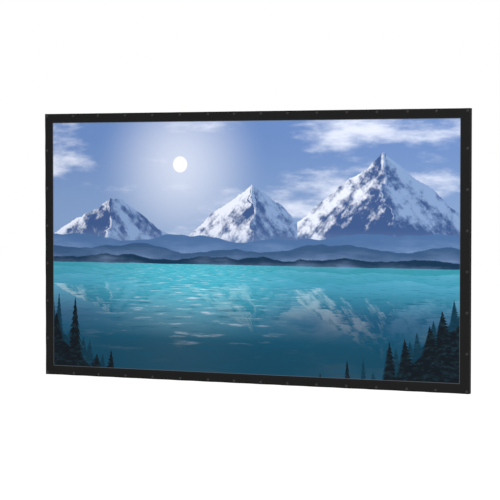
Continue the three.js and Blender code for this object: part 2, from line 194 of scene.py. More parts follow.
class Value:
    """What a socket puts out. Its sums with numbers and with other values are Math nodes."""

    def __init__(self, tree, socket):
        self.tree = tree
        self.socket = socket

    def __add__(self, other):
        return self.tree.math("ADD", self, other)

    def __sub__(self, other):
        return self.tree.math("SUBTRACT", self, other)

    def __rsub__(self, other):
        return self.tree.math("SUBTRACT", other, self)

    def __mul__(self, other):
        return self.tree.math("MULTIPLY", self, other)

    def __truediv__(self, other):
        return self.tree.math("DIVIDE", self, other)

    def __rtruediv__(self, other):
        return self.tree.math("DIVIDE", other, self)

    def __abs__(self):
        return self.tree.math("ABSOLUTE", self)


class Tree:
    """A node tree, with one call for each kind of node that the materials use often."""

    def __init__(self, tree):
        self.tree = tree

    def feed(self, socket, value):
        """Links a value to a socket, or sets the socket to a plain number or colour."""
        if isinstance(value, Value):
            self.tree.links.new(value.socket, socket)
        elif socket.type == "RGBA":
            socket.default_value = (*value, 1)
        else:
            socket.default_value = value

    def give(self, node, **inputs):
        """Feeds a node. A socket's name has its spaces written as underscores."""
        for label, value in inputs.items():
            self.feed(node.inputs[label.replace("_", " ")], value)

    def node(self, kind, inputs=None, **settings):
        """Adds a node. inputs holds what feeds each socket, by the socket's name or number."""
        made = self.tree.nodes.new(kind)
        for name, value in settings.items():
            setattr(made, name, value)
        for name, value in (inputs or {}).items():
            self.feed(made.inputs[name], value)
        return made

    def output(self, kind, inputs=None, socket=0, **settings):
        """Adds a node and gives the value of one of its outputs."""
        return Value(self, self.node(kind, inputs, **settings).outputs[socket])

    def group(self, name, **inputs):
        """Places a node group and gives its outputs by name."""
        made = self.node("ShaderNodeGroup", node_tree=bpy.data.node_groups[name])
        self.give(made, **inputs)
        return {socket.name: Value(self, socket) for socket in made.outputs}

    def math(self, operation, *values):
        return self.output("ShaderNodeMath", dict(enumerate(values)), operation=operation)

    def step(self, value, start, end):
        """A smooth rise from 0 at start to 1 at end. start may be the larger one."""
        inputs = {"Value": value, "From Min": start, "From Max": end}
        return self.output("ShaderNodeMapRange", inputs, interpolation_type="SMOOTHSTEP")

    def span(self, value, start, end, low, high):
        """A straight run from low at start to high at end, held beyond them."""
        inputs = {"Value": value, "From Min": start, "From Max": end, "To Min": low, "To Max": high}
        return self.output("ShaderNodeMapRange", inputs)

    def mix(self, share, a, b, blend="MIX"):
        """Colour a, with as much of colour b as the share says."""
        inputs = {0: share, 6: a, 7: b}
        return self.output("ShaderNodeMix", inputs, 2, data_type="RGBA", blend_type=blend)

    def point(self, x, y, z=0.0):
        return self.output("ShaderNodeCombineXYZ", {0: x, 1: y, 2: z})

    def noise(self, point, scale, detail, roughness=0.5):
        inputs = {"Vector": point, "Scale": scale, "Detail": detail, "Roughness": roughness}
        return self.output("ShaderNodeTexNoise", inputs)

    def bump(self, height, distance):
        return self.output("ShaderNodeBump", {"Height": height, "Distance": distance})

    def object_point(self):
        """The object's own coordinates, which are the screen's, in metres."""
        return self.output("ShaderNodeTexCoord", socket="Object")

    def axes(self):
        """The object's own coordinates as three values."""
        split = self.node("ShaderNodeSeparateXYZ", {0: self.object_point()})
        return [Value(self, socket) for socket in split.outputs]


def new_group(name, takes, *puts_out):
    """An empty node group, as its tree, its inputs' values in order and its output node.

    takes holds each input's first value, a number or a colour. Of the outputs, Colour is a colour
    and all others are numbers.
    """
    group = bpy.data.node_groups.new(name, "ShaderNodeTree")
    for label, first in takes.items():
        coloured = isinstance(first, tuple)
        kind = "NodeSocketColor" if coloured else "NodeSocketFloat"
        socket = group.interface.new_socket(name=label, in_out="INPUT", socket_type=kind)
        socket.default_value = (*first, 1) if coloured else first
    for label in puts_out:
        kind = "NodeSocketColor" if label == "Colour" else "NodeSocketFloat"
        group.interface.new_socket(name=label, in_out="OUTPUT", socket_type=kind)
    tree = Tree(group)
    inputs = tree.node("NodeGroupInput").outputs
    return tree, [Value(tree, inputs[label]) for label in takes], tree.node("NodeGroupOutput")


def new_material(name, **sockets):
    """A material with one Principled shader. Plain numbers and colours are set on its sockets."""
    made = bpy.data.materials.new(name)
    made.use_nodes = True
    tree = Tree(made.node_tree)
    shader = made.node_tree.nodes["Principled BSDF"]
    tree.give(shader, **sockets)
    return made, tree, shader


# Effects that several materials share

def build_grain_group():
    """Fine moulded, sprayed or cast grain, and the slow drift of tone that goes with it."""
    tree, (size, drift_size, drift), out = new_group(
        "surface_grain", {"Size": MM, "Drift size": 60 * MM, "Drift": 0.1}, "Height", "Tone"
    )
    point = tree.object_point()
    fine = tree.noise(point, 1 / size, 3, 0.6)
    slow = tree.noise(point, 1 / drift_size, 4, 0.55) - 0.5
    tree.give(out, Height=fine, Tone=slow * (drift * 2) + 1)


def build_cloth_group():
    """Plain woven cloth under a coating: threads over and under in a checker, in the XZ plane, with
    painted shade in the gaps.
    """
    tree, (pitch,), out = new_group("coated_cloth", {"Pitch": MM}, "Height", "Gap")
    x, _, z = tree.axes()
    across, up = (tree.math("SINE", axis * math.pi / pitch) for axis in (x, z))
    checker = across * up
    slub = tree.noise(tree.object_point(), 300, 2)
    # The second output is a mask of painted shade in the gaps between the threads.
    tree.give(out, Height=checker * 0.5 + slub * 0.6, Gap=tree.step(abs(checker), 0.25, 0))


def build_drift_group():
    """A plain colour that drifts a little lighter and darker over the surface."""
    tree, (plain, tone), out = new_group("drifting_colour", {"Colour": GREY, "Tone": 1}, "Colour")
    tree.give(out, Colour=tree.mix(1, plain, tree.point(tone, tone, tone), "MULTIPLY"))


def drifting(tree, plain, grain):
    """A plain colour with the grain's drift of tone."""
    return tree.group("drifting_colour", Colour=plain, Tone=grain["Tone"])["Colour"]


def build_powder_group():
    """Powder coat: a fine orange peel, and a few grains that lie proud with a painted glint on
    them.
    """
    tree, (plain,), out = new_group(
        "powder_coat_finish", {"Colour": BLACK}, "Colour", "Roughness", "Height"
    )
    peel = tree.group("surface_grain", Size=1.6 * MM, Drift_size=100 * MM, Drift=0.1)
    glinting_fleck = tree.step(tree.noise(tree.object_point(), 1900, 1), 0.7, 0.78)
    # The proud grains are coloured this much lighter as a painted glint.
    painted_glint = (0.07, 0.07, 0.07)
    tree.give(
        out,
        Colour=tree.mix(glinting_fleck, drifting(tree, plain, peel), painted_glint),
        Roughness=tree.span(peel["Height"], 0.3, 0.7, 0.42, 0.56),
        Height=peel["Height"] + glinting_fleck * 0.3,
    )


def build_metal_group():
    """Bare or plated metal with fine marks, longer than wide by the streak, along X and Z."""
    tree, (plain, streak, smoothest, roughest), out = new_group(
        "metal_finish",
        {"Colour": GREY, "Streak": 1, "Smoothest": 0.2, "Roughest": 0.4},
        "Colour", "Roughness", "Height",
    )
    x, y, z = tree.axes()
    marks = tree.noise(tree.point(x / streak, y, z / streak), 2500, 3, 0.6)
    grain = tree.group("surface_grain", Size=0.8 * MM, Drift_size=14 * MM, Drift=0.12)
    roughness = tree.span(marks, 0.3, 0.7, smoothest, roughest)
    tree.give(out, Colour=drifting(tree, plain, grain), Roughness=roughness, Height=marks)


# The projected picture. Its coordinates are Along and Height, both in picture heights from the
# picture's middle, and each group paints its own shapes over the colour behind them.

def build_range_group():
    """A wooded range whose foot fades into mist."""
    tree, given, out = new_group(
        "mountain_range",
        {"Along": 0, "Height": 0, "Level": 0, "Relief": 0.05, "Scale": 2, "Woods": 0.06,
         "Seed": 0, "Depth": 0.1, "Crest": BLACK, "Foot": WHITE, "Behind": WHITE},
        "Colour",
    )
    along, height, level, relief, scale, woods, seed, depth, crest, foot, behind = given
    line = tree.point(along * scale, seed)
    hills = tree.noise(line, 1, 3) - 0.5
    treetops = tree.noise(line, 60, 2, 0.7) - 0.5
    below = level + relief * (hills + treetops * woods) - height
    folds = tree.noise(tree.point(along * 0.7, height * 3.4, seed), 6, 6, 0.6) - 0.5
    shaded = tree.mix(tree.step(below / depth + folds * 1.1, 0, 1), crest, foot)
    tree.give(out, Colour=tree.mix(tree.step(below, 0, 0.0022), behind, shaded))


def build_peaks_group(picture):
    """Three snow peaks, as (place along, half width, height) from their common foot."""
    tree, (along, height, foot, behind), out = new_group(
        "snow_peaks", {"Along": 0, "Height": 0, "Foot": 0, "Behind": WHITE}, "Colour"
    )
    crest = foot
    slope = 0
    wander = tree.noise(tree.point(along, height, 6.4), 9, 6, 0.6) - 0.5
    for middle, half_width, rise in ((-0.62, 0.52, 0.27), (0.02, 0.44, 0.33), (0.58, 0.62, 0.44)):
        off = along - middle
        top = (1 - abs(off) / half_width) * rise + foot
        here = tree.math("GREATER_THAN", top, crest)
        drop = 1 - (height - foot) / rise
        side = tree.span(off + wander * drop * 0.55, -0.012, 0.012, -1, 1)
        slope = here * side + (1 - here) * slope
        crest = tree.math("MAXIMUM", top, crest)
    jag = tree.noise(tree.point(along, 3), 5.5, 8, 0.62) - 0.5
    below = crest + jag * 0.11 - height
    leaning = along + slope * height * 0.75
    gully = tree.noise(tree.point(leaning, height * 0.45, 1.7), 11, 7, 0.62)
    crag = tree.noise(tree.point(along, height), 26, 6, 0.65) - 0.5
    bare = tree.step(below * 0.9 + (gully + crag * 0.5), 0.47, 0.66)
    snow = tree.mix(tree.step(slope, -0.4, 0.4), picture.cloud, picture.haze)
    face = tree.mix(bare, snow, picture.rock)
    misty = tree.mix(tree.step(height - foot, 0.16, 0), face, picture.haze)
    tree.give(out, Colour=tree.mix(tree.step(below, 0, 0.0025), behind, misty))


def build_landscape_group(picture):
    """Everything above the lake's far shore: sky, sun, clouds, peaks and three wooded ranges."""
    tree, (along, height, shore), out = new_group(
        "landscape", {"Along": 0, "Height": 0, "Shore": 0}, "Colour"
    )
    sky = tree.mix(tree.step(height, 0.06, 0.5), picture.haze, picture.zenith)
    bank = tree.noise(tree.point(along * 1.3, height * 4.2, 5.1), 1.5, 8, 0.58)
    clouded = tree.mix(tree.step(bank, 0.46, 0.68) * 0.92, sky, picture.cloud)
    sun = (-0.3, 0.33, 0)
    ends = {0: tree.point(along, height), 1: sun}
    off_sun = tree.output("ShaderNodeVectorMath", ends, "Value", operation="DISTANCE")
    haloed = tree.mix(tree.step(off_sun, 0.4, 0) * 0.7, clouded, picture.cloud)
    sunny = tree.mix(tree.step(off_sun, 0.036, 0.026), haloed, WHITE)
    behind = tree.group(
        "snow_peaks", Along=along, Height=height, Foot=shore, Behind=sunny
    )["Colour"]
    middle = tree.mix(0.5, picture.far_range, picture.near_range)
    for crest, level, relief, scale, woods, seed, depth in (
        (picture.far_range, 0.115, 0.20, 2.1, 0.03, 4.2, 0.17),
        (middle, 0.07, 0.15, 2.9, 0.07, 11.7, 0.13),
        (picture.near_range, 0.03, 0.10, 4.1, 0.17, 23.1, 0.11),
    ):
        behind = tree.group(
            "mountain_range", Along=along, Height=height, Level=shore + level, Relief=relief,
            Scale=scale, Woods=woods, Seed=seed, Depth=depth, Crest=crest, Foot=picture.haze,
            Behind=behind,
        )["Colour"]
    tree.give(out, Colour=behind)


def build_lake_group(picture):
    """The lake: its own depth of colour, the landscape mirrored in it, and lines of light."""
    tree, (along, height, shore), out = new_group(
        "lake", {"Along": 0, "Height": 0, "Shore": 0}, "Colour"
    )
    depth = shore - height
    nearness = 1 / (depth + 0.045)
    swell = tree.noise(tree.point(along * nearness, nearness * 2.6), 1.7, 6, 0.6)
    lift = (swell - 0.5) * (depth * 0.55)
    sway = (swell - 0.5) * 0.05
    mirrored = tree.group(
        "landscape", Along=along + sway, Height=shore + depth * 1.25 + lift, Shore=shore
    )["Colour"]
    shallow = tree.mix(tree.step(depth, 0, 0.22), picture.glow, picture.deep)
    water = tree.mix(tree.step(depth, 0.16, 0.4), shallow, picture.night)
    mirror = tree.mix(tree.span(depth, 0, 0.3, 0.5, 0.02), water, mirrored)
    band = tree.step(abs(along + 0.24), 0.62, 0)
    pooled = tree.mix(band * tree.step(depth, 0.34, 0) * 0.75, mirror, picture.glow)
    glitter = tree.step(swell, 0.55, 0.72) * (band * tree.step(depth, 0.42, 0.02))
    lines = tree.mix(glitter, pooled, picture.cloud)
    tree.give(out, Colour=tree.mix(tree.step(swell, 0.47, 0.3) * 0.55, lines, picture.deep))


def build_pines_group():
    """A row of pines on a bank, each a stack of drooping boughs of its own height."""
    tree, given, out = new_group(
        "pines",
        {"Along": 0, "Height": 0, "Bank": 0, "Spacing": 0.06, "Tallness": 0.2, "Seed": 0,
         "Tint": BLACK, "Behind": WHITE},
        "Colour",
    )
    along, height, bank, spacing, tallness, seed, tint, behind = given
    run = along / spacing + seed
    which = tree.math("FLOOR", run)
    chance = tree.output("ShaderNodeTexWhiteNoise", {"W": which}, noise_dimensions="1D")
    trunk = (chance - 0.5) * 0.5 + 0.5
    off = abs(run - which - trunk) * 2
    other = tree.math("FRACT", chance * 17.3)
    top = tallness * (other * other * 0.75 + 0.25)
    up = height - bank
    boughs = tree.math("FRACT", up / top * 9 + off * 1.2)
    half = (1 - up / top) * (0.95 - boughs * 0.42)
    needles = tree.noise(tree.point(along, height), 160, 3, 0.7) - 0.5
    inside = tree.step(half + needles * 0.16 - off, -0.02, 0.03)
    standing = tree.math("GREATER_THAN", inside * tree.step(up, top, 0), 0.001)
    ground = tree.step(up + needles * 0.016, 0.004, -0.004)
    mask = tree.math("MAXIMUM", inside * standing, ground)
    scrub = tree.noise(tree.point(along, height * 2.5, 2.2), 38, 6, 0.7)
    blue_green = (0.03, 0.1, 0.14)
    tinted = tree.mix(tree.step(scrub, 0.45, 0.75) * 0.3, tint, blue_green)
    tree.give(out, Colour=tree.mix(mask, behind, tinted))


def build_picture_group(picture):
    """The whole picture, from the sky down to the two wooded banks in the foreground."""
    tree, (along, height), out = new_group("mountain_lake", {"Along": 0, "Height": 0}, "Colour")
    shore = -0.07
    land = tree.group("landscape", Along=along, Height=height, Shore=shore)["Colour"]
    water = tree.group("lake", Along=along, Height=height, Shore=shore)["Colour"]
    wet_edge = (tree.noise(tree.point(along, 8), 7, 5, 0.6) - 0.5) * 0.008
    behind = tree.mix(tree.step(height + wet_edge, shore + 0.001, shore - 0.001), land, water)
    far_tint = tree.mix(0.35, picture.pine, picture.deep)
    left_bank = tree.span(along, -0.9, -0.2, -0.32, -0.86)
    right_bank = tree.span(along, 0.1, 0.9, -0.88, -0.24)
    bank = tree.math("MAXIMUM", left_bank, right_bank)
    for tint, drop, spacing, tallness, seed in (
        (far_tint, 0, 0.048, 0.2, 3.3),
        (picture.pine, 0.035, 0.085, 0.3, 8.6),
    ):
        behind = tree.group(
            "pines", Along=along, Height=height, Bank=bank - drop, Spacing=spacing,
            Tallness=tallness, Seed=seed, Tint=tint, Behind=behind,
        )["Colour"]
    tree.give(out, Colour=behind)


# Materials

def viewing_area():
    """Half the width and half the height of the opening in the border."""
    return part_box("border_right")[0].x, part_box("border_top")[0].z


def seam_lines(fabric):
    """How far from the picture the seam starts, is at its depth, starts to rise and ends."""
    start_of_seam, end_of_seam, slope = fabric.seam_start, fabric.seam_end, fabric.seam_slope
    return start_of_seam, start_of_seam + slope, end_of_seam, end_of_seam + slope


def outward_of(tree, inset=0.0):
    """How far a point lies outward of the viewing area, or of a frame inset from its edge."""
    half_width, half_height = viewing_area()
    x, _, z = tree.axes()
    return tree.math("MAXIMUM", abs(x) - (half_width - inset), abs(z) - (half_height - inset))


def make_picture_material(picture):
    """The matte screen with the picture on it, and a bare unlit margin round the picture."""
    made, tree, shader = new_material("projected_picture", Roughness=0.88, Specular_IOR_Level=0.12)
    x, _, z = tree.axes()
    picture_height = 2 * (viewing_area()[1] - picture.margin)
    per_metre = 1 / picture_height
    lit = tree.group("mountain_lake", Along=x * per_metre, Height=z * per_metre)["Colour"]
    outside = tree.step(outward_of(tree, picture.margin), -0.3 * MM, 0.3 * MM)
    spill = tree.mix(0.7, lit, picture.bare)
    grain = tree.group("surface_grain", Size=0.5 * MM, Drift_size=200 * MM, Drift=0.05)
    tree.give(
        shader,
        Base_Color=tree.mix(outside, lit, spill),
        Normal=tree.bump(grain["Height"], 0.03 * MM),
    )
    return made


def make_backing_material(fabric):
    """Dark coated cloth, with painted shade in the gaps between its threads."""
    made, tree, shader = new_material("sheet_backing", Specular_IOR_Level=0.2)
    cloth = tree.group("coated_cloth", Pitch=fabric.weave_pitch)
    grain = tree.group("surface_grain", Size=0.4 * MM, Drift_size=180 * MM, Drift=0.16)
    # Near-black painted shade for the gaps between the threads.
    painted_gap_shade = (0.004, 0.004, 0.004)
    woven = tree.mix(cloth["Gap"] * 0.35, fabric.backing, painted_gap_shade)
    tree.give(
        shader,
        Base_Color=drifting(tree, woven, grain),
        Roughness=tree.span(grain["Tone"], 0.8, 1.2, 0.92, 0.78),
        Normal=tree.bump(cloth["Height"], 0.12 * MM),
    )
    return made


def make_border_material(fabric):
    """Black coated fabric with a fine emboss and a knurled weld along the picture."""
    made, tree, shader = new_material("border_vinyl", Specular_IOR_Level=0.08)
    x, _, z = tree.axes()
    outward = outward_of(tree)
    seam_start, full_from, full_to, seam_end = seam_lines(fabric)
    band = tree.step(outward, seam_start, full_from) * tree.step(outward, seam_end, full_to)
    ridges = math.tau / fabric.knurl_pitch
    rising, falling = (tree.math("SINE", way * ridges) for way in (x + z, x - z))
    knurl = tree.math("MAXIMUM", rising, falling) * band
    cloth = tree.group("coated_cloth", Pitch=fabric.weave_pitch * 0.6)
    grain = tree.group("surface_grain", Size=0.7 * MM, Drift_size=150 * MM, Drift=0.14)
    emboss = cloth["Height"] * 0.4 + grain["Height"] * 0.8
    tree.give(
        shader,
        Base_Color=drifting(tree, fabric.border, grain),
        Roughness=tree.span(grain["Tone"], 0.8, 1.2, 0.8, 0.62) - band * 0.1,
        Normal=tree.bump(emboss + knurl * 0.8, 0.14 * MM),
    )
    return made


def make_enamel_material(hardware):
    """Dull black enamel, a little uneven all over."""
    made, tree, shader = new_material("cap_enamel", Specular_IOR_Level=0.28)
    grain = tree.group("surface_grain", Size=1.5 * MM, Drift_size=9 * MM, Drift=0.12)
    tree.give(
        shader,
        Base_Color=drifting(tree, hardware.enamel, grain),
        Roughness=tree.span(grain["Height"], 0.3, 0.7, 0.28, 0.42),
        Normal=tree.bump(grain["Height"], 0.02 * MM),
    )
    return made


def make_metal_material(name, plain, **polish):
    """Metal of one colour, with its own length of marks and reach of roughness."""
    made, tree, shader = new_material(name, Metallic=1)
    metal = tree.group("metal_finish", Colour=plain, **polish)
    relief = tree.bump(metal["Height"], 0.015 * MM)
    tree.give(shader, Base_Color=metal["Colour"], Roughness=metal["Roughness"], Normal=relief)
    return made


def make_powder_material(name, hardware):
    """The frame's powder coat, for steel parts and welds."""
    made, tree, shader = new_material(name, Specular_IOR_Level=0.3)
    powder = tree.group("powder_coat_finish", Colour=hardware.powder)
    relief = tree.bump(powder["Height"], 0.06 * MM)
    tree.give(shader, Base_Color=powder["Colour"], Roughness=powder["Roughness"], Normal=relief)
    return made


def make_tube_material(hardware, tube_front):
    """Powder coat on the tubes, and nickel on the studs that stand in front of them."""
    made, tree, shader = new_material("tube_powder_coat", Specular_IOR_Level=0.3)
    powder = tree.group("powder_coat_finish", Colour=hardware.powder)
    nickel = tree.group("metal_finish", Colour=hardware.nickel, **NICKEL_POLISH)
    stud = tree.step(tree.axes()[1], tube_front - 0.02 * MM, tube_front - 0.05 * MM)
    tree.give(
        shader,
        Base_Color=tree.mix(stud, powder["Colour"], nickel["Colour"]),
        Metallic=stud,
        Roughness=powder["Roughness"] + (nickel["Roughness"] - powder["Roughness"]) * stud,
        Normal=tree.bump(powder["Height"], 0.06 * MM),
    )
    return made


def make_rubber_material(hardware):
    """Black rubber with a fine grain and a little pale dust on it."""
    made, tree, shader = new_material("bumper_rubber", Specular_IOR_Level=0.3)
    grain = tree.group("surface_grain", Size=0.5 * MM, Drift_size=12 * MM, Drift=0.2)
    dust = tree.noise(tree.object_point(), 420, 5, 0.65)
    dusty = tree.step(dust, 0.5, 0.75) * 0.2
    pale = (0.08, 0.08, 0.078)
    tree.give(
        shader,
        Base_Color=tree.mix(dusty, drifting(tree, hardware.rubber, grain), pale),
        Roughness=tree.span(dust, 0.3, 0.7, 0.7, 0.88),
        Normal=tree.bump(grain["Height"], 0.05 * MM),
    )
    return made


def seen_rays(tree):
    """1 where a camera ray, or a mirrored or refracted one, arrives, and 0 for all other light."""
    rays = tree.node("ShaderNodeLightPath").outputs
    kinds = ("Is Camera Ray", "Is Glossy Ray", "Is Transmission Ray")
    camera, mirrored, refracted = (Value(tree, rays[kind]) for kind in kinds)
    return tree.math("MAXIMUM", tree.math("MAXIMUM", camera, mirrored), refracted)


def make_floor_material():
    """A pale floor that the camera sees as white, with the object's shadow left on it.

    Seen from beneath it is clear, so that it never hides the screen.
    """
    made, tree, shader = new_material("studio_floor", Roughness=0.9, Specular_IOR_Level=0.1)
    darker, lighter = (0.78, 0.78, 0.78), (0.82, 0.82, 0.82)
    shade = tree.span(tree.noise(tree.object_point(), 3, 5, 0.6), 0.3, 0.7, 0, 1)
    tree.give(shader, Base_Color=tree.mix(shade, darker, lighter))
    glow = tree.output("ShaderNodeEmission", {"Strength": seen_rays(tree) * 0.4})
    both = tree.output("ShaderNodeAddShader", {0: Value(tree, shader.outputs[0]), 1: glow})
    beneath = tree.output("ShaderNodeNewGeometry", socket="Backfacing")
    clear = tree.output("ShaderNodeBsdfTransparent")
    sided = tree.output("ShaderNodeMixShader", {0: beneath, 1: both, 2: clear})
    tree.give(made.node_tree.nodes["Material Output"], Surface=sided)
    return made


# Modelling steps

def pick(piece):
    """Selects the piece alone and makes it the active one."""
    bpy.ops.object.select_all(action="DESELECT")
    piece.select_set(True)
    bpy.context.view_layer.objects.active = piece


def start(primitive, **settings):
    """Adds a primitive with nothing else selected, and gives its object with its place applied."""
    bpy.ops.object.select_all(action="DESELECT")
    primitive(**settings)
    bpy.ops.object.transform_apply(location=True, rotation=True, scale=True)
    return bpy.context.active_object


def start_round(centre, radius, depth, sides):
    """A cylinder whose axis runs from the picture to the wall."""
    return start(
        bpy.ops.mesh.primitive_cylinder_add,
        vertices=sides,
        radius=radius,
        depth=depth,
        location=centre,
        rotation=(math.pi / 2, 0, 0),
    )


def edit():
    bpy.ops.object.mode_set(mode="EDIT")


def leave():
    bpy.ops.object.mode_set(mode="OBJECT")


def choose(kind, test):
    """In edit mode, selects just the vertices, edges or faces that pass the test."""
    bpy.ops.mesh.select_mode(type=kind)
    bpy.ops.mesh.select_all(action="DESELECT")
    data = bpy.context.edit_object.data
    mesh = bmesh.from_edit_mesh(data)
    for item in {"VERT": mesh.verts, "EDGE": mesh.edges, "FACE": mesh.faces}[kind]:
        if test(item):
            item.select_set(True)
    mesh.select_flush(True)
    bmesh.update_edit_mesh(data)


def choose_edges(test):
    """Selects the edges of which both ends pass the test, which is given their places."""
    choose("EDGE", lambda edge: all(test(vertex.co) for vertex in edge.verts))


def extrude(x=0.0, y=0.0, z=0.0):
    bpy.ops.mesh.extrude_region_move(TRANSFORM_OT_translate={"value": (x, y, z)})


def inset(thickness, depth=0.0):
    bpy.ops.mesh.inset(thickness=thickness, depth=depth)


def widen(factor, centre):
    """Scales what is selected across the line from the picture to the wall."""
    bpy.ops.transform.resize(value=(factor, 1, factor), center_override=centre)


def apply_modifier(piece, kind, **settings):
    bpy.context.view_layer.objects.active = piece
    modifier = piece.modifiers.new(kind.lower(), kind)
    for name, value in settings.items():
        setattr(modifier, name, value)
    bpy.ops.object.modifier_apply(modifier=modifier.name)


def cut(piece, cutter):
    """Cuts the piece with the cutter, which is then removed."""
    apply_modifier(piece, "BOOLEAN", operation="DIFFERENCE", object=cutter, solver="EXACT")
    bpy.data.objects.remove(cutter)


def smooth(piece, degrees=35):
    pick(piece)
    bpy.ops.object.shade_smooth_by_angle(angle=math.radians(degrees))
    apply_modifier(piece, "WEIGHTED_NORMAL", keep_sharp=True, weight=100)


def dress(piece, name, material, slot, *cad_nodes):
    """Names a finished piece, gives it its material and ties it to the frame."""
    piece.name = name
    piece.data.name = name
    if not piece.data.materials:
        piece.data.materials.append(material)
    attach(piece, "root")
    if cad_nodes:
        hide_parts(*cad_nodes)


def copy_to(piece, offset):
    """A copy with a mesh of its own, moved by the offset."""
    twin = piece.copy()
    twin.data = piece.data.copy()
    twin.data.transform(Matrix.Translation(offset))
    bpy.context.scene.collection.objects.link(twin)
    return twin


def cap_places(border):
    """Where the snaps of a border strip stand: its foremost points are the middles of its caps."""
    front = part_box(border)[0].y + 2 * NEAR
    places = (vertex.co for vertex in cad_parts[border].data.vertices)
    return sorted({(round(at.x, 4), round(at.z, 4)) for at in places if at.y < front})


def border_front(context):
    """The place of the border's front face: the caps are the frame's foremost points."""
    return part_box("border_top")[0].y + context.scene.screen_hardware.cap_rise


def middle_of(node):
    low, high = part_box(node)
    return (low + high) / 2


# Fabric

def lines_between(low, high, step, *marks):
    """Places from low to high about a step apart, with the marks among them.

    A place that is close to a mark gives way to it.
    """
    close = 0.4 * step
    count = round((high - low) / step)
    regular = [low + (high - low) * line / count for line in range(1, count)]
    kept = [line for line in regular if all(abs(line - mark) > close for mark in marks)]
    return sorted({low, high, *kept, *(mark for mark in marks if low < mark < high)})


def upright_plate(y, lines_x, lines_z, facing=-1):
    """An upright grid with its lines at the given places. It faces the viewer, or else the wall."""
    plate = start(
        bpy.ops.mesh.primitive_grid_add,
        x_subdivisions=len(lines_x) - 1,
        y_subdivisions=len(lines_z) - 1,
        size=1,
        rotation=(-facing * math.pi / 2, 0, 0),
    )
    for vertex in plate.data.vertices:
        column = round((vertex.co.x + 0.5) * (len(lines_x) - 1))
        row = round((vertex.co.z + 0.5) * (len(lines_z) - 1))
        vertex.co = (lines_x[column], y, lines_z[row])
    return plate


def build_sheet(context):
    """The sheet, with the picture on its front and the light-stop cloth on its back."""
    fabric = context.scene.screen_fabric
    low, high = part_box("viewing_surface")
    cell = 42 * MM
    sheet = upright_plate(
        low.y, lines_between(low.x, high.x, cell), lines_between(low.z, high.z, cell)
    )
    apply_modifier(sheet, "SOLIDIFY", thickness=fabric.sheet_thickness, offset=-1)
    sheet.data.materials.append(make_picture_material(context.scene.screen_picture))
    sheet.data.materials.append(make_backing_material(fabric))
    for face in sheet.data.polygons:
        face.material_index = 0 if face.normal.y < -0.5 else 1
    smooth(sheet)
    dress(sheet, "screen_sheet", None, "screen_sheet", "viewing_surface")


def slack_between(marks, at):
    """0 at a mark and 1 halfway between two marks, in a smooth swing."""
    before = max((mark for mark in marks if mark <= at), default=None)
    after = min((mark for mark in marks if mark > at), default=None)
    if before is None or after is None:
        return 0.0
    return math.sin(math.pi * (at - before) / (after - before)) ** 2


def seam_depth_at(fabric, outward):
    """How deep the seam is pressed in at a distance outward from the picture."""
    seam_start, full_from, full_to, seam_end = seam_lines(fabric)
    into = (outward - seam_start) / (full_from - seam_start)
    out_of = (seam_end - outward) / (seam_end - full_to)
    return fabric.seam_depth * max(0.0, min(1.0, into, out_of))


def build_border_strip(context, node, material):
    """One strip, drawn in and bowed back between its snaps and pressed in along its seam."""
    fabric = context.scene.screen_fabric
    low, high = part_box(node)
    size = high - low
    front = border_front(context)
    back = front + fabric.border_thickness
    lengthwise = 0 if size.x > size.z else 2
    crosswise = 2 - lengthwise
    sign = 1 if low[crosswise] + high[crosswise] > 0 else -1
    outer = high[crosswise] if sign > 0 else low[crosswise]
    half_width, half_height = viewing_area()
    lines = {}
    for axis, inner in ((0, half_width), (2, half_height)):
        cell = 12 * MM if axis == lengthwise else 7 * MM
        seam = [end * (inner + line) for line in seam_lines(fabric) for end in (-1, 1)]
        lines[axis] = lines_between(low[axis], high[axis], cell, *seam)
    strip = upright_plate(front, lines[0], lines[2])
    marks = sorted({cap[lengthwise // 2] for cap in cap_places(node)})
    if lengthwise == 2:
        marks = [low.z, *marks, high.z]
    for vertex in strip.data.vertices:
        outward = max(abs(vertex.co.x) - half_width, abs(vertex.co.z) - half_height)
        inward = abs(outer - vertex.co[crosswise])
        give = max(0.0, 1 - inward / fabric.relaxed) ** 2
        slack = slack_between(marks, vertex.co[lengthwise]) * give
        vertex.co[crosswise] -= sign * fabric.scallop * slack
        vertex.co.y += fabric.bow * slack + seam_depth_at(fabric, outward)
    apply_modifier(strip, "SOLIDIFY", thickness=fabric.border_thickness, offset=-1)
    for vertex in strip.data.vertices:
        if abs(outer - vertex.co[crosswise]) > fabric.relaxed:
            vertex.co.y = min(vertex.co.y, back)
    apply_modifier(strip, "BEVEL", width=0.25 * MM, segments=2, limit_method="ANGLE")
    smooth(strip)
    dress(strip, node + "_fabric", material, "border", node)


# Snaps

def model_cap(context, x, z):
    """A pressed cap: a rolled rim, a low dome and a shallow dish in its middle."""
    hardware = context.scene.screen_hardware
    front = border_front(context)
    foot = 0.3 * MM
    foot_share = 0.94
    rim_share = 0.29
    dome_rings = ((0.25, 0.11), (0.5, 0.13), (0.8, 0.04), (1.2, 0.2), (1.5, 0.15), (1.4, 0.08))
    dish_rings = ((0.4, 0.12), (0.7, 0.05))
    cap = start(
        bpy.ops.mesh.primitive_circle_add,
        vertices=28,
        radius=hardware.cap_radius * foot_share,
        fill_type="NGON",
        location=(x, front + foot, z),
        rotation=(math.pi / 2, 0, 0),
    )
    edit()
    bpy.ops.mesh.select_all(action="SELECT")
    extrude(y=-foot)
    widen(1 / foot_share, (x, front, z))
    extrude(y=-rim_share * hardware.cap_rise)
    for width, rise_share in dome_rings:
        inset(width * MM, rise_share * hardware.cap_rise)
    for width, depth in dish_rings:
        inset(width * MM, -depth * MM)
    leave()
    smooth(cap, 50)
    return cap


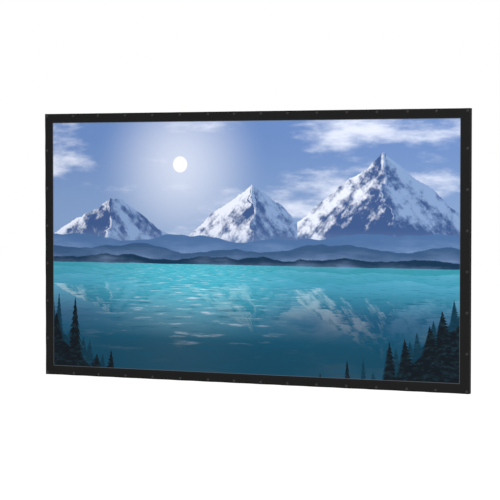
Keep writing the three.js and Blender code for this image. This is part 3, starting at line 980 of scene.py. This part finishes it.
def model_socket(context, x, z):
    """The socket behind the border: a cup with a rolled mouth and a spring groove inside it."""
    fabric = context.scene.screen_fabric
    hardware = context.scene.screen_hardware
    back = border_front(context) + fabric.border_thickness
    bore = hardware.stud_radius + hardware.stud_clearance
    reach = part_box("border_top")[1].y - back
    chamfer = 0.15 * MM
    chamfer_depth = 0.25 * MM
    lip = 0.5 * MM
    groove_wall = 0.6 * MM
    groove_end = 0.4 * MM
    groove_share = 1.12
    floor = 0.65 * MM
    mouth_rounding = 0.5 * MM
    socket = start_round((x, back + reach / 2, z), hardware.socket_radius, reach, 24)
    edit()
    choose("FACE", lambda face: face.normal.y > 0.9)
    inset(hardware.socket_radius - bore - chamfer)
    inset(chamfer, -chamfer_depth)
    extrude(y=-lip)
    widen(groove_share, (x, back, z))
    extrude(y=-groove_wall)
    extrude(y=-groove_end)
    widen(1 / groove_share, (x, back, z))
    extrude(y=-(reach - chamfer_depth - lip - groove_wall - groove_end - floor))
    rim = hardware.socket_radius - NEAR
    mouth = back + reach - NEAR
    choose_edges(lambda at: at.y > mouth and math.hypot(at.x - x, at.z - z) > rim)
    bpy.ops.mesh.bevel(offset=mouth_rounding, segments=3)
    leave()
    smooth(socket, 40)
    return socket


def build_snaps(context):
    """The caps and the sockets, each modelled at the first snap and copied to every snap."""
    hardware = context.scene.screen_hardware
    enamel = make_enamel_material(hardware)
    nickel = make_metal_material("snap_nickel", hardware.nickel, **NICKEL_POLISH)
    first = cap_places("border_top")[0]
    parts = {"cap": (model_cap, enamel), "socket": (model_socket, nickel)}
    for part, (make_model, material) in parts.items():
        model = make_model(context, *first)
        for border in BORDERS:
            for count, (x, z) in enumerate(cap_places(border), 1):
                name = "snap_%s_%s_%02d" % (part, border.split("_")[1], count)
                twin = copy_to(model, Vector((x - first[0], 0, z - first[1])))
                dress(twin, name, material, "border", border)
        bpy.data.objects.remove(model)


# Screws

def press_thread(screw, hardware, centre, seat):
    """Draws the shank's points in and out by where they stand in the thread's turn.

    The neck under the head stays plain, and so does the tip, which is narrower than the shank.
    """
    neck = 0.6 * MM
    for vertex in screw.data.vertices:
        below = seat - vertex.co.y
        off = Vector((vertex.co.x - centre.x, vertex.co.z - centre.z))
        if below > neck and off.length > 0.9 * hardware.screw_radius:
            turn = math.atan2(off.y, off.x) / math.tau + below / hardware.thread_pitch
            off *= 1 - hardware.thread_depth / off.length * abs(2 * (turn % 1) - 1)
            vertex.co.x = centre.x + off.x
            vertex.co.z = centre.z + off.y


def cut_recess(screw, top):
    """Cuts the cross into the head, narrower at its bottom than at its top."""
    long, short, depth = 4.4 * MM, 0.95 * MM, 1.1 * MM
    bottom_share = 0.7
    for width, height in ((long, short), (short, long)):
        cutter = start(
            bpy.ops.mesh.primitive_cube_add, size=1, location=top, scale=(width, 2 * depth, height)
        )
        edit()
        choose("VERT", lambda vertex: vertex.co.y < top.y)
        widen(bottom_share, top)
        leave()
        cut(screw, cutter)


def model_screw(context, node):
    """A pan head with a cross recess on a threaded shank, in the place of one CAD screw."""
    hardware = context.scene.screen_hardware
    low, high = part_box(node)
    centre = middle_of(node)
    head_height = hardware.screw_head_height
    head_radius = (high.x - low.x) / 2
    tip_share = 0.45
    rings_per_turn = 6
    seat = high.y - head_height
    head_middle = (centre.x, seat + head_height / 2, centre.z)
    screw = start_round(head_middle, head_radius, head_height, 32)
    edit()
    choose_edges(lambda at: at.y > high.y - NEAR)
    bpy.ops.mesh.bevel(offset=0.6 * head_height, segments=5)
    choose("FACE", lambda face: face.normal.y < -0.9)
    inset(head_radius - hardware.screw_radius)
    ring = hardware.thread_pitch / rings_per_turn
    rings = int((seat - low.y) / ring) - 2
    for _ in range(rings):
        extrude(y=-ring)
    extrude(y=low.y - seat + rings * ring)
    widen(tip_share, (centre.x, low.y, centre.z))
    leave()
    press_thread(screw, hardware, centre, seat)
    cut_recess(screw, Vector((centre.x, high.y, centre.z)))
    smooth(screw, 40)
    return screw


def build_screws(context):
    """The splice screws and the clip screws, each kind modelled once and copied."""
    hardware = context.scene.screen_hardware
    polish = {"Streak": 4, "Smoothest": 0.2, "Roughest": 0.38}
    zinc = make_metal_material("zinc_plate", hardware.zinc, **polish)
    for kind in ("splice_screw", "clip_screw"):
        nodes = nodes_starting(kind)
        model = model_screw(context, nodes[0])
        for node in nodes:
            twin = copy_to(model, middle_of(node) - middle_of(nodes[0]))
            dress(twin, node + "_threaded", zinc, "screw", node)
        bpy.data.objects.remove(model)


# Welds, clips and bumpers

def build_weld(context, side, level, material):
    """The rippled weld across the back of one mitre. side and level are 1 or -1 for its corner."""
    hardware = context.scene.screen_hardware
    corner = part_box("border_top")[1]
    stile_low, stile_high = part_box("left_stile")
    tube_size = stile_high.x - stile_low.x
    half = hardware.bead_width / 2
    inside_corner = 0.4 * MM
    reach = tube_size / math.sqrt(2) - half - inside_corner
    sunk = 0.12 * MM
    end_taper = 2 * MM
    trailing = 0.45
    ripple_share = 0.28
    lines_along = lines_between(-reach, reach, 0.34 * MM)
    lines_across = lines_between(-half, half, 0.46 * MM)
    bead = upright_plate(0, lines_along, lines_across, facing=1)
    for vertex in bead.data.vertices:
        across = vertex.co.z / half
        run = vertex.co.x / hardware.bead_pitch + trailing * across * across
        ripple = 1 - ripple_share * (1 - abs(math.sin(math.pi * run)))
        ends = min(1.0, (reach - abs(vertex.co.x)) / end_taper)
        crown = math.sqrt(max(0.0, 1 - across * across) * max(0.0, ends))
        vertex.co.y = (hardware.bead_rise + sunk) * crown * ripple - sunk
    apply_modifier(bead, "SOLIDIFY", thickness=0.4 * MM, offset=-1)
    middle = (side * (corner.x - tube_size / 2), stile_high.y, level * (corner.z - tube_size / 2))
    turn = Matrix.Rotation(-side * level * math.pi / 4, 4, "Y")
    bead.data.transform(Matrix.Translation(middle) @ turn)
    smooth(bead, 60)
    name = "mitre_weld_%s_%s" % ("top" if level > 0 else "bottom", "right" if side > 0 else "left")
    dress(bead, name, material, "frame_tube")


def fold_strip(x_low, x_high, path, thickness):
    """A steel strip folded along four (y, z) points through the middle of its thickness."""
    (y, z_high), (_, z_fold) = path[:2]
    step = abs(path[2][0] - path[1][0])
    # The two bends share the step between them, so each takes up less than half of it.
    bend = min(0.62 * thickness, 0.48 * step)
    middle = ((x_low + x_high) / 2, y, (z_high + z_fold) / 2)
    strip = start(
        bpy.ops.mesh.primitive_plane_add, size=1, location=middle, rotation=(math.pi / 2, 0, 0)
    )

    def choose_fold(fold_y, fold_z):
        choose_edges(lambda at: abs(at.y - fold_y) < NEAR and abs(at.z - fold_z) < NEAR)

    edit()
    bpy.ops.mesh.select_all(action="SELECT")
    bpy.ops.transform.resize(value=(x_high - x_low, 1, z_high - z_fold), center_override=middle)
    for (from_y, from_z), (to_y, to_z) in zip(path[1:], path[2:]):
        choose_fold(from_y, from_z)
        extrude(y=to_y - from_y, z=to_z - from_z)
    for fold in path[1:-1]:
        choose_fold(*fold)
        bpy.ops.mesh.bevel(offset=bend, segments=6)
    bpy.ops.mesh.select_all(action="SELECT")
    bpy.ops.mesh.normals_make_consistent(inside=False)
    leave()
    apply_modifier(strip, "SOLIDIFY", thickness=thickness, offset=0, use_even_offset=True)
    return strip


def finish_clip(clip, name, material, node):
    """Rounds the clip's edges, and dissolves the faces of no area that this leaves at its folds."""
    apply_modifier(
        clip, "BEVEL", width=0.22 * MM, segments=2, limit_method="ANGLE",
        angle_limit=math.radians(50), use_clamp_overlap=False,
    )
    pick(clip)
    edit()
    bpy.ops.mesh.select_all(action="SELECT")
    bpy.ops.mesh.dissolve_degenerate(threshold=NEAR / 2)
    leave()
    smooth(clip, 30)
    dress(clip, name, material, "clip", node)


def build_clips(context, material):
    """The two pairs of clips. Each hook clip's step rests on its wall clip's upper edge."""
    hardware = context.scene.screen_hardware
    thick = hardware.clip_thickness
    screw_hole_radius = hardware.screw_radius + hardware.screw_clearance
    room_over_wall_clip = 0.05 * MM
    room_under_hook = 0.3 * MM
    for side in SIDES:
        hook_low, hook_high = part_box("hook_clip_" + side)
        wall_low, wall_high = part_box("wall_clip_" + side)
        front, back = hook_low.y + thick / 2, hook_high.y - thick / 2
        ledge = wall_high.z + room_over_wall_clip + thick / 2
        path = [(front, hook_high.z), (front, ledge), (back, ledge), (back, hook_low.z)]
        hook = fold_strip(hook_low.x, hook_high.x, path, thick)
        for screw_node in nodes_starting("clip_screw_" + side):
            screw = middle_of(screw_node)
            cut(hook, start_round((screw.x, front, screw.z), screw_hole_radius, 3 * thick, 32))
        front, back = wall_low.y + thick / 2, wall_high.y - thick / 2
        ledge = hook_low.z - room_under_hook - thick / 2
        path = [(front, wall_high.z), (front, ledge), (back, ledge), (back, wall_low.z)]
        wall = fold_strip(wall_low.x, wall_high.x, path, thick)
        hole_z = (ledge - thick / 2 + wall_low.z) / 2
        inset_x = hardware.clip_hole_inset
        for hole_x in (wall_low.x + inset_x, wall_high.x - inset_x):
            cut(wall, start_round((hole_x, back, hole_z), hardware.wall_hole_radius, 3 * thick, 32))
        for clip, node in ((hook, "hook_clip_" + side), (wall, "wall_clip_" + side)):
            finish_clip(clip, node + "_folded", material, node)


def build_bumpers(context):
    """Round rubber bumpers, narrower at the wall, each with a moulded well in its end."""
    rubber = make_rubber_material(context.scene.screen_hardware)
    end_share = 0.85
    edge_rounding = 1.1 * MM
    well_rim = 3.2 * MM
    well_slope = 0.5 * MM
    well_depth = 1.4 * MM
    for side in SIDES:
        node = "bumper_" + side
        low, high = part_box(node)
        centre = middle_of(node)
        bumper = start_round(centre, (high.x - low.x) / 2, high.y - low.y, 48)
        edit()
        choose("FACE", lambda face: face.normal.y > 0.9)
        widen(end_share, centre)
        choose_edges(lambda at: at.y > high.y - NEAR)
        bpy.ops.mesh.bevel(offset=edge_rounding, segments=4)
        choose("FACE", lambda face: face.normal.y > 0.999)
        inset(well_rim)
        inset(well_slope, -well_depth)
        leave()
        smooth(bumper, 40)
        dress(bumper, node + "_moulded", rubber, "bumper", node)


# Operators

class ProjectorScreenStep(bpy.types.Operator):
    """One step of dressing the screen"""
    bl_options = {"REGISTER", "UNDO"}


class PROJECTOR_SCREEN_OT_shared_effects(ProjectorScreenStep):
    """Build the node groups that the materials share"""
    bl_idname = "projector_screen.shared_effects"
    bl_label = "Shared effects"

    def execute(self, context):
        picture = context.scene.screen_picture
        build_grain_group()
        build_cloth_group()
        build_drift_group()
        build_powder_group()
        build_metal_group()
        build_range_group()
        build_peaks_group(picture)
        build_landscape_group(picture)
        build_lake_group(picture)
        build_pines_group()
        build_picture_group(picture)
        return {"FINISHED"}


class PROJECTOR_SCREEN_OT_stage(ProjectorScreenStep):
    """Set up the camera, the floor and the soft studio light"""
    bl_idname = "projector_screen.stage"
    bl_label = "Stage"

    def execute(self, context):
        stage = context.scene.screen_stage
        self.add_camera(context, stage)
        self.add_floor(stage)
        self.add_card(stage)
        self.add_room(context, stage)
        self.add_soft_box(context, stage)
        context.scene.view_settings.view_transform = "Standard"
        return {"FINISHED"}

    def add_camera(self, context, stage):
        camera = bpy.data.objects.new("camera", bpy.data.cameras.new("camera"))
        camera.location = stage.camera_place
        camera.rotation_euler = (math.pi / 2 - stage.camera_tilt, 0, stage.camera_heading)
        camera.data.sensor_width = 36
        camera.data.lens = stage.lens
        camera.data.clip_end = 200
        context.scene.collection.objects.link(camera)
        context.scene.camera = camera

    def add_room(self, context, stage):
        """The even light of a room, which the camera and mirrored rays see as plain white."""
        world = bpy.data.worlds.new("studio")
        context.scene.world = world
        world.use_nodes = True
        tree = Tree(world.node_tree)
        seen = seen_rays(tree)
        strength = seen + (1 - seen) * stage.room_light
        tree.give(world.node_tree.nodes["Background"], Color=WHITE, Strength=strength)

    def add_soft_box(self, context, stage):
        """One large soft box above the camera's right, turned to the screen's middle."""
        lamp = bpy.data.lights.new("soft_box", "AREA")
        lamp.shape = "RECTANGLE"
        lamp.size = 4
        lamp.size_y = 3
        lamp.energy = stage.soft_box_power
        soft_box = bpy.data.objects.new("soft_box", lamp)
        soft_box.location = stage.soft_box_place
        soft_box.rotation_euler = (-soft_box.location).to_track_quat("-Z", "Y").to_euler()
        context.scene.collection.objects.link(soft_box)

    def add_plane(self, name, material, **settings):
        plane = start(bpy.ops.mesh.primitive_plane_add, **settings)
        plane.name = name
        plane.data.materials.append(material)
        return plane

    def add_floor(self, stage):
        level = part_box("border_bottom")[0].z - stage.hanging_height
        self.add_plane("studio_floor", make_floor_material(), size=80, location=(0, 0, level))

    def add_card(self, stage):
        """A black card, seen only in reflections, which keeps the tube's outer side dark."""
        black = new_material(
            "flag_black", Base_Color=(0.01, 0.01, 0.01), Roughness=0.9, Specular_IOR_Level=0
        )[0]
        turn = (math.pi / 2, 0, stage.card_turn)
        at = stage.card_place
        card = self.add_plane("studio_flag", black, size=8, location=at, rotation=turn)
        card.visible_camera = False
        card.visible_diffuse = False
        card.visible_shadow = False
        card.visible_transmission = False


class PROJECTOR_SCREEN_OT_viewing_surface(ProjectorScreenStep):
    """Model the sheet that carries the picture"""
    bl_idname = "projector_screen.viewing_surface"
    bl_label = "Viewing surface"

    def execute(self, context):
        build_sheet(context)
        return {"FINISHED"}


class PROJECTOR_SCREEN_OT_border(ProjectorScreenStep):
    """Model the four strips of the black border"""
    bl_idname = "projector_screen.border"
    bl_label = "Border"

    def execute(self, context):
        material = make_border_material(context.scene.screen_fabric)
        for node in BORDERS:
            build_border_strip(context, node, material)
        return {"FINISHED"}


class PROJECTOR_SCREEN_OT_snaps(ProjectorScreenStep):
    """Model a snap's cap and socket, and copy them to every snap"""
    bl_idname = "projector_screen.snaps"
    bl_label = "Snaps"

    def execute(self, context):
        build_snaps(context)
        return {"FINISHED"}


class PROJECTOR_SCREEN_OT_frame_finish(ProjectorScreenStep):
    """Give the tubes and the sleeves inside them their finish, and weld the corners"""
    bl_idname = "projector_screen.frame_finish"
    bl_label = "Frame finish"

    def execute(self, context):
        hardware = context.scene.screen_hardware
        low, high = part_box("left_stile")
        tube_size = high.x - low.x
        tube = make_tube_material(hardware, high.y - tube_size)
        polish = {"Streak": 40, "Smoothest": 0.3, "Roughest": 0.5}
        bare = make_metal_material("mill_aluminium", hardware.aluminium, **polish)
        for nodes, material in ((TUBES, tube), (SLEEVES, bare)):
            for node in nodes:
                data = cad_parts[node].data
                data.materials.clear()
                data.materials.append(material)
        weld = make_powder_material("weld_powder_coat", hardware)
        for side in (-1, 1):
            for level in (-1, 1):
                build_weld(context, side, level, weld)
        return {"FINISHED"}


class PROJECTOR_SCREEN_OT_screws(ProjectorScreenStep):
    """Model the two kinds of screw, and copy them to every screw hole"""
    bl_idname = "projector_screen.screws"
    bl_label = "Screws"

    def execute(self, context):
        build_screws(context)
        return {"FINISHED"}


class PROJECTOR_SCREEN_OT_clips(ProjectorScreenStep):
    """Fold the hook clips and the wall clips"""
    bl_idname = "projector_screen.clips"
    bl_label = "Clips"

    def execute(self, context):
        powder = make_powder_material("clip_powder_coat", context.scene.screen_hardware)
        build_clips(context, powder)
        return {"FINISHED"}


class PROJECTOR_SCREEN_OT_bumpers(ProjectorScreenStep):
    """Model the rubber bumpers"""
    bl_idname = "projector_screen.bumpers"
    bl_label = "Bumpers"

    def execute(self, context):
        build_bumpers(context)
        return {"FINISHED"}


class PROJECTOR_SCREEN_PT_steps(bpy.types.Panel):
    """The steps in the order in which they are run"""
    bl_label = "Projector Screen"
    bl_space_type = "VIEW_3D"
    bl_region_type = "UI"
    bl_category = "Projector Screen"

    def draw(self, context):
        for step in STEPS:
            self.layout.operator(step.bl_idname)
        for settings in SETTINGS:
            box = self.layout.box()
            group = getattr(context.scene, settings)
            for name in group.__annotations__:
                box.prop(group, name)


SETTINGS = {
    "screen_stage": StageSettings,
    "screen_picture": PictureSettings,
    "screen_fabric": FabricSettings,
    "screen_hardware": HardwareSettings,
}
STEPS = (
    PROJECTOR_SCREEN_OT_shared_effects,
    PROJECTOR_SCREEN_OT_stage,
    PROJECTOR_SCREEN_OT_viewing_surface,
    PROJECTOR_SCREEN_OT_border,
    PROJECTOR_SCREEN_OT_snaps,
    PROJECTOR_SCREEN_OT_frame_finish,
    PROJECTOR_SCREEN_OT_screws,
    PROJECTOR_SCREEN_OT_clips,
    PROJECTOR_SCREEN_OT_bumpers,
)
CLASSES = (*SETTINGS.values(), *STEPS, PROJECTOR_SCREEN_PT_steps)


def register():
    for item in CLASSES:
        bpy.utils.register_class(item)
    for name, group in SETTINGS.items():
        setattr(bpy.types.Scene, name, PointerProperty(type=group))


def unregister():
    for name in SETTINGS:
        delattr(bpy.types.Scene, name)
    for item in reversed(CLASSES):
        bpy.utils.unregister_class(item)


def main():
    register()
    bpy.ops.projector_screen.shared_effects()
    bpy.ops.projector_screen.stage()
    bpy.ops.projector_screen.viewing_surface()
    bpy.ops.projector_screen.border()
    bpy.ops.projector_screen.snaps()
    bpy.ops.projector_screen.frame_finish()
    bpy.ops.projector_screen.screws()
    bpy.ops.projector_screen.clips()
    bpy.ops.projector_screen.bumpers()


if __name__ == "__main__":
    main()
